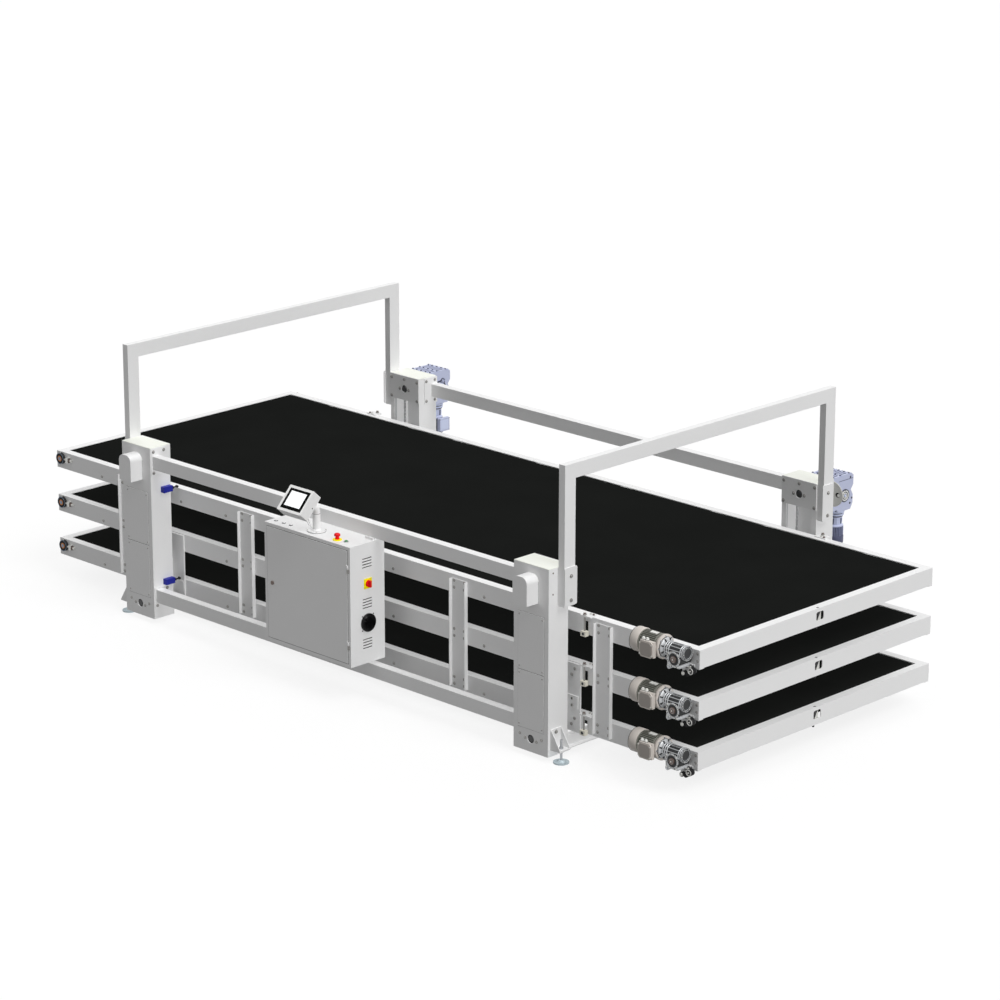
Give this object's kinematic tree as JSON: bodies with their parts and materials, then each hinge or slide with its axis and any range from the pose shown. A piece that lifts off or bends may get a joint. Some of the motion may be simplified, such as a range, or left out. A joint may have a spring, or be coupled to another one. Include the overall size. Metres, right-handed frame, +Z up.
{
  "type": "multi-level conveyor table",
  "caption": "Belt conveyor table with stacked long decks tied into one carriage, raised by chains inside corner columns, with portal arches, deck drives and a front control cabinet.",
  "frame": {"origin": "on the floor, midway between the four columns, under the middle of the decks", "axes": "+X along the belts towards their drive ends, +Y from the control cabinet side to the lift drive side, +Z up"},
  "size_m": [6, 3.268, 1.8865],
  "materials": {
    "bearing_iron": "painted",
    "bed_sheet": "satin",
    "belt": "matt",
    "cap_ivory": "satin",
    "chain_steel": "oiled",
    "deck_paint": "satin",
    "fitting_black": "matt",
    "foot_zinc": "zinc plated",
    "green": "gloss",
    "lever_black": "matt",
    "lift_blue": "satin",
    "motor_beige": "satin",
    "rail_steel": "drawn",
    "red": "gloss",
    "roller_steel": "brushed",
    "screen_case": "matt",
    "sensor_black": "matt",
    "shaft_steel": "turned",
    "shoe_plastic": "matt",
    "stand_paint": "satin",
    "switch_blue": "matt",
    "zinc": "zinc plated"
  },
  "bodies": {
    "stand": {"front_columns": "stand_paint", "rear_columns": "stand_paint", "column_caps": "cap_ivory", "bearing_plates": "stand_paint", "shaft_bearings": "bearing_iron", "guide_rails": "rail_steel", "lift_chains": "chain_steel", "levelling_feet": "foot_zinc", "column_covers": "stand_paint", "front_beams": "stand_paint", "rear_beams": "stand_paint", "base_channels": "stand_paint", "portal_arches": "stand_paint", "stand_brackets": "stand_paint", "stand_bolts": "zinc", "lift_gearmotors": "lift_blue", "limit_switch_bodies": "switch_blue", "cabinet_box": "stand_paint", "cabinet_blocks": "stand_paint", "cabinet_fittings": "fitting_black"},
    "carriage": {"deck_frames": "deck_paint", "slider_beds": "bed_sheet", "deck_belts": "belt", "roller_bearings": "bearing_iron", "belt_adjusters": "zinc", "deck_gearmotors": "motor_beige", "deck_sensors": "sensor_black", "tie_channels": "deck_paint", "carriage_plates": "deck_paint", "carriage_arms": "deck_paint", "guide_shoes": "shoe_plastic", "carriage_bolts": "zinc"},
    "drive_roller_top": {"drive_roller_top": "roller_steel"},
    "tail_roller_top": {"tail_roller_top": "roller_steel"},
    "tracking_roller_top_left": {"tracking_roller_top_left": "roller_steel"},
    "tracking_roller_top_right": {"tracking_roller_top_right": "roller_steel"},
    "drive_roller_middle": {"drive_roller_middle": "roller_steel"},
    "tail_roller_middle": {"tail_roller_middle": "roller_steel"},
    "tracking_roller_middle_left": {"tracking_roller_middle_left": "roller_steel"},
    "tracking_roller_middle_right": {"tracking_roller_middle_right": "roller_steel"},
    "drive_roller_bottom": {"drive_roller_bottom": "roller_steel"},
    "tail_roller_bottom": {"tail_roller_bottom": "roller_steel"},
    "tracking_roller_bottom_left": {"tracking_roller_bottom_left": "roller_steel"},
    "tracking_roller_bottom_right": {"tracking_roller_bottom_right": "roller_steel"},
    "drive_shaft_left": {"drive_shaft_left": "shaft_steel"},
    "idler_shaft_left": {"idler_shaft_left": "shaft_steel"},
    "sync_shaft_left": {"sync_shaft_left": "shaft_steel"},
    "drive_shaft_right": {"drive_shaft_right": "shaft_steel"},
    "idler_shaft_right": {"idler_shaft_right": "shaft_steel"},
    "sync_shaft_right": {"sync_shaft_right": "shaft_steel"},
    "cabinet_door": {"cabinet_door": "stand_paint"},
    "door_lock": {"door_lock": "zinc"},
    "main_switch_knob": {"main_switch_knob": "red"},
    "stop_button": {"stop_button": "red"},
    "start_button": {"start_button": "green"},
    "screen_post": {"screen_post": "screen_case"},
    "screen_head": {"screen_head": "screen_case"},
    "limit_lever_upper": {"limit_lever_upper": "lever_black"},
    "limit_lever_lower": {"limit_lever_lower": "lever_black"}
  },
  "joints": [
    {"name": "carriage_lift", "type": "slide", "parent": "stand", "child": "carriage", "axis": [0, 0, 1], "range_m": [0, 0.64]},
    {"name": "drive_roller_top_spin", "type": "hinge", "parent": "carriage", "child": "drive_roller_top", "pos_m": [2.904, 0, 0.871], "axis": [0, 1, 0], "continuous": true},
    {"name": "tail_roller_top_spin", "type": "hinge", "parent": "carriage", "child": "tail_roller_top", "pos_m": [-2.948, 0, 0.871], "axis": [0, 1, 0], "continuous": true},
    {"name": "tracking_roller_top_left_spin", "type": "hinge", "parent": "carriage", "child": "tracking_roller_top_left", "pos_m": [-2.09, 0, 0.80855], "axis": [0, 1, 0], "continuous": true},
    {"name": "tracking_roller_top_right_spin", "type": "hinge", "parent": "carriage", "child": "tracking_roller_top_right", "pos_m": [2.09, 0, 0.80855], "axis": [0, 1, 0], "continuous": true},
    {"name": "drive_roller_middle_spin", "type": "hinge", "parent": "carriage", "child": "drive_roller_middle", "pos_m": [2.904, 0, 0.551], "axis": [0, 1, 0], "continuous": true},
    {"name": "tail_roller_middle_spin", "type": "hinge", "parent": "carriage", "child": "tail_roller_middle", "pos_m": [-2.948, 0, 0.551], "axis": [0, 1, 0], "continuous": true},
    {"name": "tracking_roller_middle_left_spin", "type": "hinge", "parent": "carriage", "child": "tracking_roller_middle_left", "pos_m": [-2.09, 0, 0.48855], "axis": [0, 1, 0], "continuous": true},
    {"name": "tracking_roller_middle_right_spin", "type": "hinge", "parent": "carriage", "child": "tracking_roller_middle_right", "pos_m": [2.09, 0, 0.48855], "axis": [0, 1, 0], "continuous": true},
    {"name": "drive_roller_bottom_spin", "type": "hinge", "parent": "carriage", "child": "drive_roller_bottom", "pos_m": [2.904, 0, 0.231], "axis": [0, 1, 0], "continuous": true},
    {"name": "tail_roller_bottom_spin", "type": "hinge", "parent": "carriage", "child": "tail_roller_bottom", "pos_m": [-2.948, 0, 0.231], "axis": [0, 1, 0], "continuous": true},
    {"name": "tracking_roller_bottom_left_spin", "type": "hinge", "parent": "carriage", "child": "tracking_roller_bottom_left", "pos_m": [-2.09, 0, 0.16855], "axis": [0, 1, 0], "continuous": true},
    {"name": "tracking_roller_bottom_right_spin", "type": "hinge", "parent": "carriage", "child": "tracking_roller_bottom_right", "pos_m": [2.09, 0, 0.16855], "axis": [0, 1, 0], "continuous": true},
    {"name": "drive_shaft_left_turn", "type": "hinge", "parent": "stand", "child": "drive_shaft_left", "pos_m": [-1.848, 1.235, 1.144], "axis": [0, 1, 0], "range_deg": [-5, 620]},
    {"name": "idler_shaft_left_turn", "type": "hinge", "parent": "stand", "child": "idler_shaft_left", "pos_m": [-1.848, -1.235, 1.144], "axis": [0, 1, 0], "range_deg": [-5, 620]},
    {"name": "sync_shaft_left_turn", "type": "hinge", "parent": "stand", "child": "sync_shaft_left", "pos_m": [-1.848, 0, 0.119], "axis": [0, 1, 0], "range_deg": [-5, 620]},
    {"name": "drive_shaft_right_turn", "type": "hinge", "parent": "stand", "child": "drive_shaft_right", "pos_m": [1.848, 1.235, 1.144], "axis": [0, 1, 0], "range_deg": [-5, 620]},
    {"name": "idler_shaft_right_turn", "type": "hinge", "parent": "stand", "child": "idler_shaft_right", "pos_m": [1.848, -1.235, 1.144], "axis": [0, 1, 0], "range_deg": [-5, 620]},
    {"name": "sync_shaft_right_turn", "type": "hinge", "parent": "stand", "child": "sync_shaft_right", "pos_m": [1.848, 0, 0.119], "axis": [0, 1, 0], "range_deg": [-5, 620]},
    {"name": "cabinet_door_hinge", "type": "hinge", "parent": "stand", "child": "cabinet_door", "pos_m": [0.442, -1.548, 0.679], "axis": [0, 0, 1], "range_deg": [0, 110]},
    {"name": "door_lock_turn", "type": "hinge", "parent": "cabinet_door", "child": "door_lock", "pos_m": [-0.264, -1.5458, 0.681], "axis": [0, 1, 0], "range_deg": [0, 90]},
    {"name": "main_switch_turn", "type": "hinge", "parent": "stand", "child": "main_switch_knob", "pos_m": [0.467, -1.392, 0.811], "axis": [-1, 0, 0], "range_deg": [0, 90]},
    {"name": "stop_button_press", "type": "slide", "parent": "stand", "child": "stop_button", "axis": [0, 0, -1], "range_m": [0, 0.005], "stiffness_N_per_m": 2500, "springref_m": -0.001},
    {"name": "start_button_press", "type": "slide", "parent": "stand", "child": "start_button", "axis": [0, 0, -1], "range_m": [0, 0.004], "stiffness_N_per_m": 1200, "springref_m": -0.001},
    {"name": "screen_post_turn", "type": "hinge", "parent": "stand", "child": "screen_post", "pos_m": [0.056, -1.449, 1.15], "axis": [0, 0, 1], "range_deg": [-90, 90]},
    {"name": "screen_head_tilt", "type": "hinge", "parent": "screen_post", "child": "screen_head", "pos_m": [0.056, -1.54592, 1.24836], "axis": [1, 0, 0], "range_deg": [-25, 20]},
    {"name": "limit_lever_upper_swing", "type": "hinge", "parent": "stand", "child": "limit_lever_upper", "pos_m": [-1.682, -1.168, 0.938], "axis": [1, 0, 0], "range_deg": [-25, 25], "stiffness_Nm_per_rad": 0.5},
    {"name": "limit_lever_lower_swing", "type": "hinge", "parent": "stand", "child": "limit_lever_lower", "pos_m": [-1.682, -1.168, 0.286], "axis": [1, 0, 0], "range_deg": [-25, 25], "stiffness_Nm_per_rad": 0.5}
  ],
  "couplings": [
    {"joint": "tail_roller_top_spin", "follows": "drive_roller_top_spin", "ratio": 1},
    {"joint": "tracking_roller_top_left_spin", "follows": "drive_roller_top_spin", "ratio": -2.1357},
    {"joint": "tracking_roller_top_right_spin", "follows": "drive_roller_top_spin", "ratio": -2.1357},
    {"joint": "tail_roller_middle_spin", "follows": "drive_roller_middle_spin", "ratio": 1},
    {"joint": "tracking_roller_middle_left_spin", "follows": "drive_roller_middle_spin", "ratio": -2.1357},
    {"joint": "tracking_roller_middle_right_spin", "follows": "drive_roller_middle_spin", "ratio": -2.1357},
    {"joint": "tail_roller_bottom_spin", "follows": "drive_roller_bottom_spin", "ratio": 1},
    {"joint": "tracking_roller_bottom_left_spin", "follows": "drive_roller_bottom_spin", "ratio": -2.1357},
    {"joint": "tracking_roller_bottom_right_spin", "follows": "drive_roller_bottom_spin", "ratio": -2.1357},
    {"joint": "drive_shaft_left_turn", "follows": "carriage_lift", "rad_per_m": 16.667},
    {"joint": "idler_shaft_left_turn", "follows": "carriage_lift", "rad_per_m": 16.667},
    {"joint": "sync_shaft_left_turn", "follows": "carriage_lift", "rad_per_m": 16.667},
    {"joint": "drive_shaft_right_turn", "follows": "carriage_lift", "rad_per_m": 16.667},
    {"joint": "idler_shaft_right_turn", "follows": "carriage_lift", "rad_per_m": 16.667},
    {"joint": "sync_shaft_right_turn", "follows": "carriage_lift", "rad_per_m": 16.667}
  ]
}
